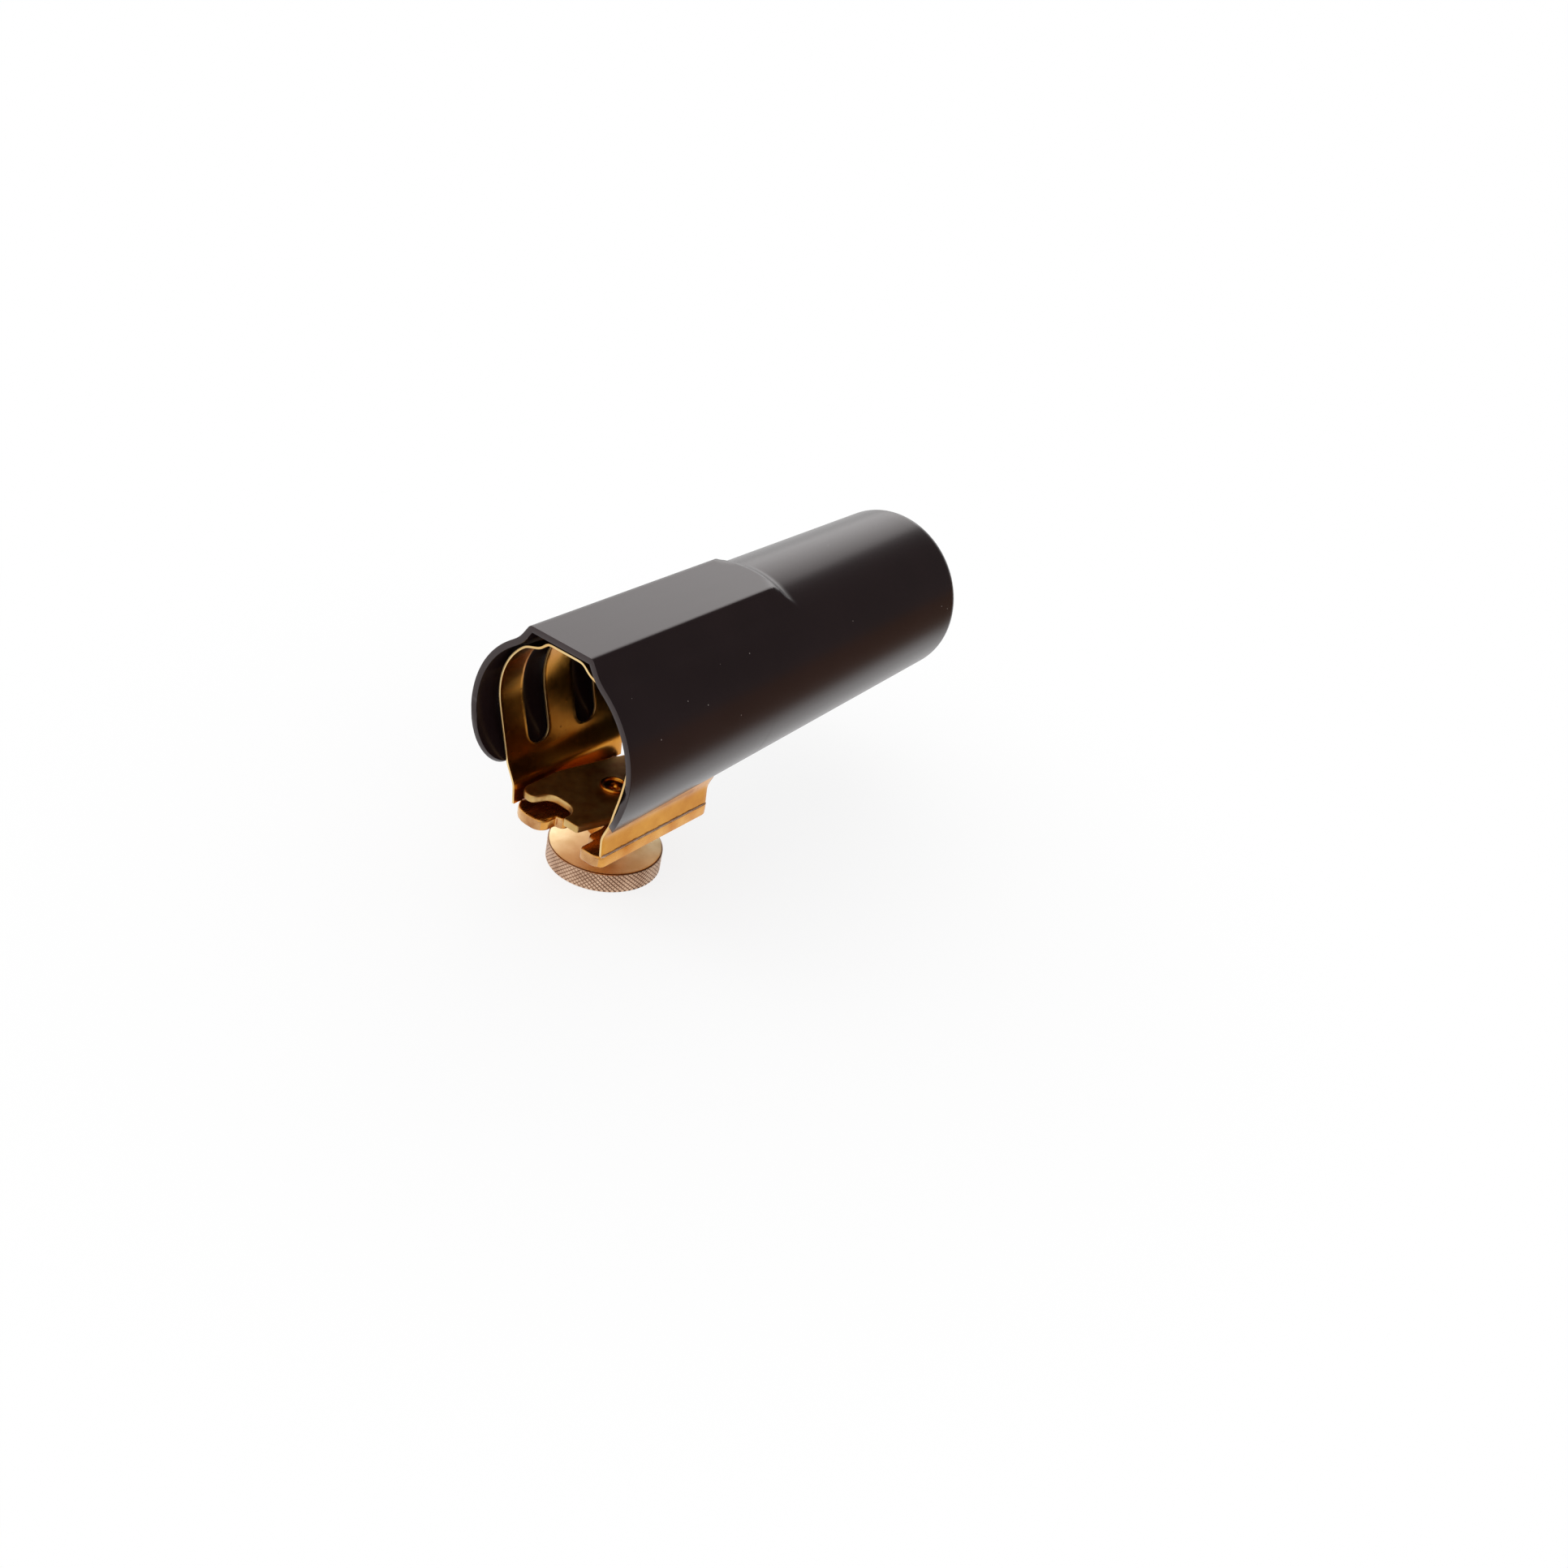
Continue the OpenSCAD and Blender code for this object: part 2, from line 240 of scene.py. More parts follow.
# The front half's corners and their radii, from left to right; the rear half is the front mirrored.
LOBE_R, NICK_R, NIB_R, KEYHOLE_R = 3.7, 0.18, 1.28, 2.39
base_front = [
    (-BASE_HALF, -BASE_END, LOBE_R), (NOTCH_LEFT, -BASE_END, 2.1), (NOTCH_LEFT, -NIB_END, NICK_R),
    (THROAT_LEFT, -NIB_END, NIB_R), (THROAT_LEFT, -KEYHOLE_END, KEYHOLE_R),
    (THROAT_RIGHT, -KEYHOLE_END, KEYHOLE_R), (THROAT_RIGHT, -NIB_END, NIB_R),
    (NOTCH_RIGHT, -NIB_END, NICK_R), (NOTCH_RIGHT, -BASE_END, 1.0), (BASE_HALF, -BASE_END, 1.8)]
base_outline = round_corners(base_front + [(x, -y, r) for x, y, r in base_front[::-1]])
# The ends are rounded well over; the long sides are left sharp where the solder runs.
END_EDGE, SIDE_EDGE = 0.42, 0.1
base_edge = np.where(np.abs(base_outline[:, 0]) > BASE_HALF - 0.3, SIDE_EDGE, END_EDGE)
base_points, base_faces = plate_with_hole(base_outline, SHANK_HOLE, BASE_LOW, BASE_TOP, base_edge)
base = make_piece("base_plate_bar", base_points, base_faces, [bar_brass, sawn_brass], "ligature",
                  ["base_plate"])
# Faces that look along the bore are the sawn ones.
facing = np.zeros(len(base.data.polygons) * 3)
base.data.polygons.foreach_get("normal", facing)
base.data.polygons.foreach_set("material_index", (np.abs(facing[1::3]) > 0.75).astype(np.int32))


# ------------------------------------------------------------- threaded boss
# A turned brass collar, soldered under the base plate, in which the screw runs. It is a ring with
# a broken lower edge and a small fillet where the solder climbs it.
BOSS_R = 3.6
BOSS_H = 3.0
BOSS_LOW = BASE_LOW - BOSS_H


def turned(profile, around):
    """A surface of revolution about Z: the profile (radius, height), from top to bottom, at every angle."""
    profile = np.asarray(profile, float)
    angle = np.linspace(0, 2 * math.pi, around, endpoint=False)
    radius, height = profile[:, :1], profile[:, 1:]
    points = np.stack([radius * np.cos(angle), radius * np.sin(angle), height + 0 * angle], -1)
    return points.reshape(-1, 3), [face[::-1] for face in ring_faces(len(profile), around)]


CLIMB, BOSS_EDGE, MOUTH_CUT = 0.5, 0.4, 0.25
fillet = np.linspace(0, math.pi / 2, 7)
boss_profile = [
    (SHANK_HOLE, BASE_LOW), (BOSS_R + CLIMB, BASE_LOW),
    *zip(BOSS_R + CLIMB - CLIMB * np.sin(fillet), BASE_LOW - CLIMB + CLIMB * np.cos(fillet)),
    *zip(BOSS_R - BOSS_EDGE + BOSS_EDGE * np.cos(fillet),
         BOSS_LOW + BOSS_EDGE - BOSS_EDGE * np.sin(fillet)),
    (SHANK_HOLE + MOUTH_CUT, BOSS_LOW), (SHANK_HOLE, BOSS_LOW + MOUTH_CUT), (SHANK_HOLE, BASE_LOW)]
boss_points, boss_faces = turned(boss_profile, 96)
make_piece("threaded_boss_collar", boss_points, boss_faces, [bar_brass], "ligature",
           ["threaded_boss"], sharp=30)


# ---------------------------------------------------------------------- band
# One strip of brass sheet, pierced with two slots a side and bent round a former: a flat crown,
# round sides, straight hips and two upright flanges. It is polished and gilded after bending.
SHEET = 0.38
BAND_R = 13.0
BAND_HALF = 12.5
BAND_BACK = -2.1
LEAN = math.radians(5.5)
SIDE_ANGLE = math.radians(10.8)
HIP_HALF, FLANGE_HALF, FLANGE_TOP = 10.9, 9.4, -15.6
CROWN_Z, CROWN_HALF, SHOULDER = 12.8, 3.5, 1.5
SLOT_R, SLOT_Y, SLOT_LOW, SLOT_HIGH = 2.3, 5.4, -11.0, 10.6
BEND = 0.55
SPRING_OUT, SPRUNG_FROM, SPRUNG_IN, SPRUNG_TO, SPRUNG_OUT = 0.4, -12, 7, 11, 4
FINE, BLUR, RIB_STEPS = 0.05, 60, 9
THIN_GAP = 0.02


def bent_strip(step):
    """Half of the band's cross-section from flange foot to crown centre, at equal steps of its length.

    The straight line through the bends is resampled by arc length and blurred with a bell curve,
    which turns every sharp bend into the soft one that sheet takes.
    """
    hip_z = (HIP_HALF * math.cos(SIDE_ANGLE) - BAND_R) / math.sin(SIDE_ANGLE)
    turn = np.linspace(-SIDE_ANGLE, math.asin(0.8), 60)
    side = np.stack([BAND_R * np.cos(turn), BAND_R * np.sin(turn)], 1)
    line = np.concatenate([
        [[FLANGE_HALF, BASE_TOP - 3], [FLANGE_HALF, FLANGE_TOP], [HIP_HALF, hip_z]], side,
        [[CROWN_HALF + SHOULDER, CROWN_Z - SHOULDER], [CROWN_HALF, CROWN_Z], [-CROWN_HALF, CROWN_Z]]])
    walked = np.concatenate([[0], np.cumsum(np.linalg.norm(np.diff(line, axis=0), axis=1))])
    fine = np.arange(0, walked[-1], FINE)
    even = np.stack([np.interp(fine, walked, line[:, axis]) for axis in (0, 1)], 1)
    bell = np.exp(-0.5 * (np.arange(-BLUR, BLUR + 1) * FINE / BEND) ** 2)
    soft = np.stack([np.convolve(np.pad(even[:, axis], BLUR, "edge"), bell / bell.sum(), "valid")
                     for axis in (0, 1)], 1)
    foot = np.argmax(soft[:, 1] > BASE_TOP)
    top = np.argmax(soft[:, 0] < 0)
    return soft[foot:top:step]


half_strip = bent_strip(5)
half_strip[0, 1] = BASE_TOP
strip = np.concatenate([half_strip, [[0.0, CROWN_Z]], half_strip[::-1] * [-1, 1]])
near_end = np.concatenate([end + np.array([0.01, 0.04, 0.1, 0.2, 0.33]) * side
                           for end, side in ((SLOT_LOW, 1), (SLOT_HIGH, -1))])


def add_rows(line, heights):
    """The line with a point added at each height on both of its sides, so that slot ends come out round."""
    middle = len(line) // 2
    right = line[:middle]
    height = np.union1d(np.round(right[:, 1], 4), heights)
    height = height[(height >= right[0, 1]) & (height <= right[-1, 1])]
    across = np.interp(height, right[:, 1], right[:, 0])
    right = np.stack([across, height], 1)
    return np.concatenate([right, line[middle:middle + 1], right[::-1] * [-1, 1]])


strip = add_rows(strip, np.concatenate([near_end, [SLOT_LOW, SLOT_HIGH]]))
middle_z, half_z = (SLOT_LOW + SLOT_HIGH) / 2, (SLOT_HIGH - SLOT_LOW) / 2 - SLOT_R
over = np.clip(np.abs(strip[:, 1] - middle_z) - half_z, 0, SLOT_R)
gap = np.sqrt(SLOT_R ** 2 - over ** 2) / math.cos(LEAN)
gap[gap < THIN_GAP] = 0
# The right side has sprung out between hip and shoulder, most at mid-height.
spring = np.clip((strip[:, 1] - SPRUNG_FROM) / SPRUNG_IN, 0, 1)
spring = spring * np.clip((SPRUNG_TO - strip[:, 1]) / SPRUNG_OUT, 0, 1)
strip[:, 0] += SPRING_OUT * spring * spring * (3 - 2 * spring) * (strip[:, 0] > 0)
shift = BAND_BACK - strip[:, 1] * math.tan(LEAN)
edges = [shift - BAND_HALF / math.cos(LEAN), shift - SLOT_Y - gap, shift - SLOT_Y + gap,
         shift + SLOT_Y - gap, shift + SLOT_Y + gap, shift + BAND_HALF / math.cos(LEAN)]


def grid_faces(rows, columns, start=0):
    """Quads of an open grid of points stored row by row."""
    row, column = np.meshgrid(np.arange(rows - 1), np.arange(columns - 1), indexing="ij")
    corner = row * columns + column + start
    quads = np.stack([corner, corner + columns, corner + columns + 1, corner + 1], -1)
    return quads.reshape(-1, 4).tolist()


band_points, band_faces = [], []
for low_edge, high_edge in zip(edges[::2], edges[1::2]):
    part = np.linspace(0, 1, RIB_STEPS)[:, None]
    rib_y = low_edge + part * (high_edge - low_edge)
    rib = np.stack([strip[:, 0] + 0 * rib_y, rib_y, strip[:, 1] + 0 * rib_y], -1)
    band_faces += grid_faces(RIB_STEPS, len(strip), sum(len(p) for p in band_points))
    band_points.append(rib.reshape(-1, 3))

# Rolled and gilded sheet: a warm satin mirror, with a few raised specks of solder. Its pierced and
# sawn edges are paler and duller than its faces.
sheet_brass = gilt_brass("gilt brass sheet, polished", "#c07a20", "#d89a3c", 0.2, 0.05, -1.0,
                         along=(0.2, 0.2, 0.2), spread=0.06)
edge_brass = gilt_brass("gilt brass, sawn edge", "#d8a860", "#f2d8a0", 0.28, 0.5, 0.3)
band = make_piece("band_sheet", np.concatenate(band_points), band_faces, [sheet_brass, edge_brass],
                  "ligature", ["band"], sharp=0)
wall = band.modifiers.new("sheet thickness", "SOLIDIFY")
wall.thickness = SHEET * MM
wall.offset = -1
wall.use_even_offset = True
wall.material_offset_rim = 1
worn = band.modifiers.new("broken edges", "BEVEL")
worn.width = 0.09 * MM
worn.segments = 2
worn.limit_method = "ANGLE"
worn.angle_limit = math.radians(50)


# -------------------------------------------------------------- solder seams
# Silver solder run along both sides of each flange's foot, and gilded over with the rest. It lies
# as a narrow wavy fillet, with a drop where the torch left the right-hand flange.
SEAM_R = 0.45
LIP_SEAM_R = 0.25
SEAM_END, LIP_SEAM_FRONT, LIP_SEAM_REAR, DROP_R = 11.0, -12.9, 12.3, 0.22


def solder_run(x, away, start, end, radius, seed, drop=0.0):
    """A fillet of solder along Y in the corner between a wall at x and the plate.

    Its section is a quarter disc whose radius wanders as three slow sine waves and shrinks to
    nothing at both ends; drop swells it near its start.
    """
    y = np.linspace(start, end, 120)
    wave = 0.12 * np.sin(1.9 * y + seed) + 0.08 * np.sin(4.3 * y + 2 * seed) + 0.05 * np.sin(9.1 * y + seed)
    ends = np.sqrt(np.clip(1 - ((2 * y - start - end) / (end - start)) ** 8, 0, 1))
    reach = (radius * (0.85 + wave) + drop * np.exp(-((y - start - 0.5) / 0.5) ** 2)) * ends
    turn = np.linspace(0, math.pi / 2, 7)
    across = np.concatenate([np.cos(turn), [0]])
    upward = np.concatenate([np.sin(turn), [0]])
    points = np.stack([x + away * reach[:, None] * across, y[:, None] + 0 * across,
                       BASE_TOP + reach[:, None] * upward], -1).reshape(-1, 3)
    faces = ring_faces(len(y), len(across))
    return points, faces if away < 0 else [face[::-1] for face in faces]


seam_points, seam_faces = [], []
for side in (-1, 1):
    drop = DROP_R if side > 0 else 0.0
    runs = ((side * (FLANGE_HALF - SHEET), -side, -SEAM_END, SEAM_END, SEAM_R, 1.3 + side, 0.0),
            (side * FLANGE_HALF, side, LIP_SEAM_FRONT, LIP_SEAM_REAR, LIP_SEAM_R, 4.1 + side, drop))
    for run in runs:
        points, faces = solder_run(*run)
        start = sum(len(p) for p in seam_points)
        seam_faces += [[i + start for i in face] for face in faces]
        seam_points.append(points)
# The gilding is thin over silver solder, so it is pale and pinkish, and it is painted paler still, near
# white, as a painted highlight along the bead; the run's skin is dull.
solder = gilt_brass("gilded silver solder, painted highlight", "#f0ccb0", "#fff0e2", 0.7, 0.6, 0.4, along=(1.0, 1.0, 1.0))
make_piece("solder_runs", np.concatenate(seam_points), seam_faces, [solder], "ligature",
           ["solder_seams"], sharp=50)


# ------------------------------------------------------------ pressure plate
# The lobed plate that the screw presses against the reed. It is blanked from thick brass sheet,
# scalloped at both ends, and gilded; use has left it scratched on top and bright round its edge.
PRESS_RISE, PRESS_T = 3.1, 1.3
PRESS_TOP = BASE_TOP + PRESS_RISE
PRESS_LOW = PRESS_TOP - PRESS_T
PRESS_HALF, PRESS_END = 8.5, 13.2
PRONG, TAPER_Y = 4.4, 3.7
SCALLOP_FAR, SCALLOP_NEAR, SCALLOP_Y, LOBE_END = -4.3, 1.4, 9.6, 12.7
# The front half's corners and their radii; the rear half is the front turned by half a turn.
front_half = [
    (-PRESS_HALF, -LOBE_END, 2.1), (SCALLOP_FAR - 1.2, -LOBE_END, 1.2), (SCALLOP_FAR, -SCALLOP_Y, 2.0),
    (SCALLOP_NEAR, -SCALLOP_Y, 2.5), (SCALLOP_NEAR, -PRESS_END, 0.5), (PRONG, -PRESS_END, 0.5),
    (PRESS_HALF, TAPER_Y, 3.0)]
press_outline = round_corners(front_half + [(-x, -y, r) for x, y, r in front_half])
RIVET_HOLE, PRESS_EDGE = 1.55, 0.28
press_edge = np.full(len(press_outline), PRESS_EDGE)
press_points, press_faces = plate_with_hole(press_outline, RIVET_HOLE, PRESS_LOW, PRESS_TOP, press_edge)
# Gilded sheet rubbed by the reed: brown-gold and satin, with deep pits.
plate_brass = gilt_brass("gilt brass plate, worn", "#b87028", "#f2c474", 0.34, 0.3, 2.6,
                         along=(1.0, 0.5, 1.0))
# The blanked edge is torn rather than cut, and its gilding is thin and pale.
blanked_brass = gilt_brass("gilt brass plate, blanked edge", "#b08848", "#e0c084", 0.3, 0.9, 0.6,
                           along=(1.0, 1.0, 0.3))
press = make_piece("pressure_plate_blank", press_points, press_faces, [plate_brass, blanked_brass], "plate",
                   ["pressure_plate"])
facing = np.zeros(len(press.data.polygons) * 3)
press.data.polygons.foreach_get("normal", facing)
press.data.polygons.foreach_set("material_index", (np.abs(facing[2::3]) < 0.8).astype(np.int32))


# ------------------------------------------------------------------ tip rivet
# A tubular brass rivet through the pressure plate into the tip of the screw. Its head is rolled
# over by a pointed punch, which leaves a smooth bead round a cone-shaped dimple.
RIVET_Z = PRESS_TOP + 0.05
RIVET_HEAD_R, RIVET_HEAD_H, RIVET_R, RIVET_STEM = 2.3, 0.42, 1.5, 2.6
BEAD_R, CONE_R, CONE_DEPTH = 0.28, 1.25, 0.85
bead = np.linspace(math.pi * 0.94, 0, 16)
flare = np.linspace(0, math.pi / 2, 9)
rivet_profile = [
    (0.0, RIVET_Z - 0.95), (0.35, RIVET_Z - 0.93),
    *zip(0.45 + CONE_R * (1 - np.cos(flare)), RIVET_Z - CONE_DEPTH + CONE_DEPTH * np.sin(flare)),
    *zip(RIVET_HEAD_R - BEAD_R + BEAD_R * np.cos(bead), RIVET_Z + RIVET_HEAD_H * np.sin(bead)),
    (RIVET_R, RIVET_Z), (RIVET_R, RIVET_Z - RIVET_STEM), (0.0, RIVET_Z - RIVET_STEM)]
rivet_points, rivet_faces = turned(rivet_profile, 72)
make_piece("tip_rivet_eyelet", rivet_points, rivet_faces, [sheet_brass], "rivet",
           ["tip_rivet"])


# ---------------------------------------------------------------- thumbscrew
# Turned from one bar: a broad flat head with a diamond-knurled rim and a threaded shank. The faces
# keep the lathe's fine rings, and fingers have rubbed the gilding off the knurl.
HEAD_R, HEAD_TOP, HEAD_LOW, BEVEL = 9.3, -26.6, -30.1, 0.16
KNURLS, KNURL_DEPTH, KNURL_ROWS = 70, 0.13, 4.2
SHANK_R, SHANK_TOP, PITCH, THREAD_DEPTH = 2.0, -17.35, 0.7, 0.32
SHANK_FOOT = HEAD_TOP - 0.3


def diamond(around, along):
    """Height of a knurl between 0 and 1: the lower of two crossing triangle waves, cut off flat on top."""
    waves = [1 - np.abs(2 * np.mod(around + side * along, 1) - 1) for side in (-1, 1)]
    return np.minimum(np.minimum(*waves) * 2.6, 1.0)


KNURL_STEPS, RIM_STEPS, FADE = 16, 57, 50
around_head = KNURLS * KNURL_STEPS
head_angle = np.linspace(0, 2 * math.pi, around_head, endpoint=False)
rim = np.linspace(0, 1, RIM_STEPS)[:, None]
rim_z = HEAD_TOP - BEVEL + rim * (HEAD_LOW - HEAD_TOP + 2 * BEVEL)
relief = diamond(head_angle * KNURLS / (2 * math.pi), rim * KNURL_ROWS)
fade = np.clip(np.minimum(rim, 1 - rim) * FADE, 0, 1)
rim_r = HEAD_R - KNURL_DEPTH * (1 - relief) * fade
flat_r = np.array([0.0, 2.2, 3.2, 5.0, 7.0, 8.2, HEAD_R - BEVEL - 0.25, HEAD_R - BEVEL - 0.05])[:, None]
flat_z = np.zeros((len(flat_r), 1))
head_r = np.concatenate([flat_r + 0 * head_angle, rim_r, flat_r[::-1] + 0 * head_angle])
head_z = np.concatenate([HEAD_TOP + flat_z, rim_z, HEAD_LOW + flat_z]) + 0 * head_angle
head_points = np.stack([head_r * np.cos(head_angle), head_r * np.sin(head_angle), head_z], -1)
head_faces = [face[::-1] for face in ring_faces(len(head_r), around_head)]

# A thread of trapezoid section, as a helix whose phase turns with the angle, on a rounded tip.
SHANK_AROUND = 48
shank_angle = np.linspace(0, 2 * math.pi, SHANK_AROUND, endpoint=False)
shank_z = np.linspace(SHANK_TOP, SHANK_FOOT, 128)[:, None]
phase = np.mod(shank_z / PITCH - shank_angle / (2 * math.pi), 1)
thread = THREAD_DEPTH * np.clip(np.abs(2 * phase - 1) * 1.3 - 0.15, 0, 1)
lead_in = 0.5 * np.clip(1 - (SHANK_TOP - shank_z) / 0.5, 0, 1)
shank_r = np.minimum(SHANK_R - thread, SHANK_R - lead_in)
tip_r = np.array([[0.0], [1.0]])
shank_r = np.concatenate([tip_r + 0 * shank_angle, shank_r, np.zeros((1, SHANK_AROUND))])
shank_z = np.concatenate([np.full((2, SHANK_AROUND), SHANK_TOP), shank_z + 0 * shank_angle,
                          np.full((1, SHANK_AROUND), SHANK_FOOT)])
shank_points = np.stack([shank_r * np.cos(shank_angle), shank_r * np.sin(shank_angle), shank_z], -1)
shank_faces = [face[::-1] for face in ring_faces(len(shank_r), SHANK_AROUND)]


def turned_brass(name, deep, pale, rough, groove="#ffffff"):
    """Turned brass: fine rings about the Z axis from the lathe tool, over slow patches of tarnish.

    Wherever it lies nearer the axis than the knurl's crests, it is multiplied by the groove's colour, a
    painted shade that darkens the grooves.
    """
    made, tree, out, place = new_material(name)
    rings = add_node(tree, "ShaderNodeTexWave",
                     {"Vector": place, "Scale": per_mm(0.35) / 6.28, "Distortion": 0.6,
                      "Detail": 2.0, "Detail Scale": 2.0}, wave_type="RINGS", rings_direction="Z")
    cloud = add_node(tree, "ShaderNodeTexNoise", {"Vector": place, "Scale": per_mm(3.0), "Detail": 6.0})
    colour = add_node(tree, "ShaderNodeValToRGB", {"Fac": cloud.outputs["Fac"]})
    colour.color_ramp.elements[0].position = 0.35
    colour.color_ramp.elements[0].color = linear(deep)
    colour.color_ramp.elements[1].position = 0.65
    colour.color_ramp.elements[1].color = linear(pale)
    flat = add_node(tree, "ShaderNodeVectorMath", {0: place, 1: (1.0, 1.0, 0.0)}, operation="MULTIPLY")
    out_r = add_node(tree, "ShaderNodeVectorMath", {0: flat.outputs[0]}, operation="LENGTH")
    deep_in = add_node(tree, "ShaderNodeMapRange",
                       {"Value": out_r.outputs["Value"], "From Min": (HEAD_R - KNURL_DEPTH) * MM,
                        "From Max": (HEAD_R - 0.3 * KNURL_DEPTH) * MM, "To Min": 1.0, "To Max": 0.0})
    # Painted shade: the knurl's grooves, nearer the axis than its crests, are darkened by the groove
    # colour.
    groove_shaded = add_node(tree, "ShaderNodeMix",
                     {0: deep_in.outputs[0], 6: colour.outputs["Color"], 7: linear(groove)},
                     data_type="RGBA", blend_type="MULTIPLY")
    dull = add_node(tree, "ShaderNodeMapRange",
                    {"Value": cloud.outputs["Fac"], "From Min": 0.3, "From Max": 0.7,
                     "To Min": rough + 0.04, "To Max": rough})
    bump = add_node(tree, "ShaderNodeBump", {"Height": rings.outputs["Fac"], "Strength": 0.35,
                                             "Distance": 0.01 * MM})
    shader = add_node(tree, "ShaderNodeBsdfPrincipled",
                      {"Base Color": groove_shaded.outputs[2], "Metallic": 1.0,
                       "Roughness": dull.outputs[0], "Normal": bump.outputs[0]})
    tree.links.new(shader.outputs[0], out.inputs["Surface"])
    return made


# The faces are satin from the tool; the knurl is rubbed down to pinkish bare brass and duller, and its
# grooves are darkened with painted shade.
faced_brass = turned_brass("turned brass, satin", "#e6c894", "#f4deb4", 0.42)
rubbed_and_groove_shaded_brass = turned_brass("turned brass, rubbed knurl, painted groove shade", "#b8947a", "#dab89c", 0.34, "#8a6044")
head = make_piece("thumbscrew_head", head_points.reshape(-1, 3), head_faces, [faced_brass, rubbed_and_groove_shaded_brass],
                  "screw", ["thumbscrew"], sharp=38)
on_rim = np.zeros(len(head.data.polygons) * 3)
head.data.polygons.foreach_get("center", on_rim)
out_r = np.hypot(on_rim[0::3], on_rim[1::3])
head.data.polygons.foreach_set("material_index", (out_r > (HEAD_R - BEVEL) * MM).astype(np.int32))
make_piece("thumbscrew_shank", shank_points.reshape(-1, 3), shank_faces, [faced_brass], "screw",
           sharp=0)


# ------------------------------------------------------------------------ cap
# Injection-moulded black plastic, pushed over the ligature to guard the reed. Its wall is even
# all round, it tapers to a rounded closed end, and it has a flat raised land along its top.
CAP_FRONT, CAP_LEN, CAP_WALL = 17.1, 91.0, 1.0
CAP_MOUTH_R, CAP_END_R, END_ROUND = 16.0, 14.7, 3.2
CAP_AXIS_Z, CAP_RISE = -2.0, math.tan(math.radians(1.1))
LAND_TOP, LAND_LEN, LAND_EDGE = 14.85, 45.5, 6.7
FLANK = np.array([0.846, 0.533])
MOUTH_CORNER, UNDER_HALF, UNDER_LEN, UNDER_ROUND = 4.5, 11.8, 35.0, 8.0
LAND_FROM = math.radians(42)
FLANK_DROP, FLANK_FILLET, END_FILLET, FOOT_FILLET = 0.9, 0.5, 0.35, 0.75
END_SLOPE, LAND_FADE, END_CROWN = 0.62, 1.6, 0.25


def blend_max(a, b, reach):
    """The larger of two surfaces, with a fillet where they come within reach of each other."""
    near = np.clip(1 - np.abs(a - b) / reach, 0, 1)
    return np.maximum(a, b) + near ** 2 * reach / 4


def cap_radius(angle, y):
    """Outer radius about the cap's axis: a taper, joined to the land by a fillet.

    The land is the least of its flat top, its sloping flanks and its end, each as the distance
    from the axis to a plane at that angle.
    """
    taper = (CAP_MOUTH_R - CAP_END_R) / (CAP_LEN - END_ROUND)
    body = CAP_MOUTH_R - taper * y
    axis_z = CAP_AXIS_Z + y * CAP_RISE
    across, upward = np.abs(np.cos(angle)), np.maximum(np.sin(angle), 0.05)
    top = (LAND_TOP - axis_z) / upward
    offset = FLANK[0] * LAND_EDGE + FLANK[1] * (LAND_TOP - FLANK_DROP - axis_z)
    flank = offset / (FLANK[0] * across + FLANK[1] * upward)
    land = -blend_max(-top, -flank, FLANK_FILLET)
    land = -blend_max(-land, -(body + END_SLOPE * (LAND_LEN - y)), END_FILLET)
    land = np.where(np.sin(angle) > math.sin(LAND_FROM), land, 0.0)
    return blend_max(body, land, FOOT_FILLET)


quarter = np.linspace(0, math.pi / 2, 22)
straight_end = CAP_LEN - END_ROUND
cap_y = np.unique(np.round(np.concatenate([
    MOUTH_CORNER * (1 - np.cos(quarter)), np.linspace(MOUTH_CORNER, UNDER_LEN - UNDER_ROUND, 20),
    UNDER_LEN - UNDER_ROUND * (1 - np.sin(quarter)), np.linspace(UNDER_LEN, LAND_LEN - 2, 8),
    np.linspace(LAND_LEN - 2, LAND_LEN + LAND_FADE, 34),
    np.linspace(LAND_LEN + LAND_FADE, straight_end, 20)]), 6))[:, None]
x_gap = np.select(
    [cap_y < MOUTH_CORNER, cap_y < UNDER_LEN - UNDER_ROUND, cap_y < UNDER_LEN],
    [UNDER_HALF + MOUTH_CORNER
     - np.sqrt(np.clip(MOUTH_CORNER ** 2 - (MOUTH_CORNER - cap_y) ** 2, 0, None)),
     UNDER_HALF + 0 * cap_y,
     UNDER_HALF * np.clip(1 - ((cap_y - UNDER_LEN + UNDER_ROUND) / UNDER_ROUND) ** 3, 0, 1) ** (1 / 3)],
    0.0)
lowest = -np.arccos(np.clip(x_gap / cap_radius(np.zeros(1), cap_y), 0, 1))
side = np.linspace(0, 1, 46)[None, :-1]
right_side = lowest + side * (LAND_FROM - lowest)
over_land = np.linspace(LAND_FROM, math.pi - LAND_FROM, 111)[None, :] + 0 * cap_y
angle = np.concatenate([right_side, over_land, math.pi - right_side[:, ::-1]], 1)
radius = cap_radius(angle, cap_y)
axis_z = CAP_AXIS_Z + cap_y * CAP_RISE

turn = np.linspace(0, math.pi / 2, 14)[1:, None]
dome = np.linspace(1, 0, 10)[1:, None]
flat_end = CAP_END_R - END_ROUND
end_r = np.concatenate([flat_end + END_ROUND * np.cos(turn), flat_end * dome])
end_y = np.concatenate([straight_end + (END_ROUND - END_CROWN) * np.sin(turn),
                        CAP_LEN - END_CROWN * dome ** 2])
angle = np.concatenate([angle, np.repeat(angle[-1:], len(end_r), 0)])
radius = np.concatenate([radius, end_r + 0 * angle[:len(end_r)]])
along = np.concatenate([cap_y, end_y])
axis_z = np.concatenate([axis_z, CAP_AXIS_Z + end_y * CAP_RISE])
cap_points = np.stack([radius * np.cos(angle), along - CAP_FRONT + 0 * angle,
                       axis_z + radius * np.sin(angle)], -1)
cap_faces = grid_faces(*angle.shape)


